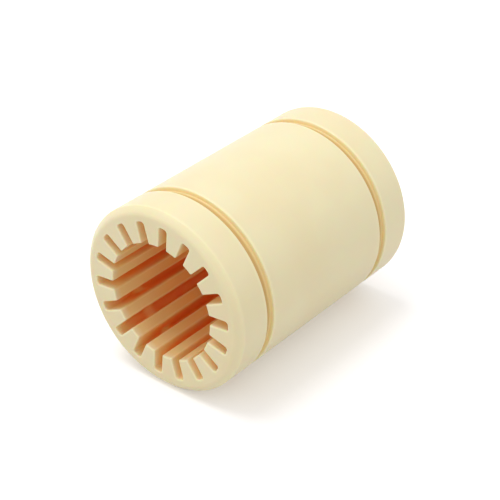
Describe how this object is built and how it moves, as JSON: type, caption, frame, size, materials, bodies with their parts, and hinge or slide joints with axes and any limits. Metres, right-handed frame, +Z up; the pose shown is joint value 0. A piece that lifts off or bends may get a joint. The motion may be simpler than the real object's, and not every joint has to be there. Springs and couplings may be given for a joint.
{
  "type": "plastic linear plain bearing",
  "caption": "Cream moulded plain bearing for a round shaft, with glide ribs and slots along the bore and a retaining ring groove near each end.",
  "frame": {"origin": "middle of the bore: on its axis, halfway between the two end faces", "axes": "+X along the bore axis; the bearing is alike both ways along X; +Z up, as the bearing lies on its side"},
  "size_m": [0.045, 0.032, 0.032],
  "materials": {
    "bearing_polymer": "satin"
  },
  "bodies": {
    "root": {"bearing_body": "bearing_polymer"}
  },
  "joints": []
}
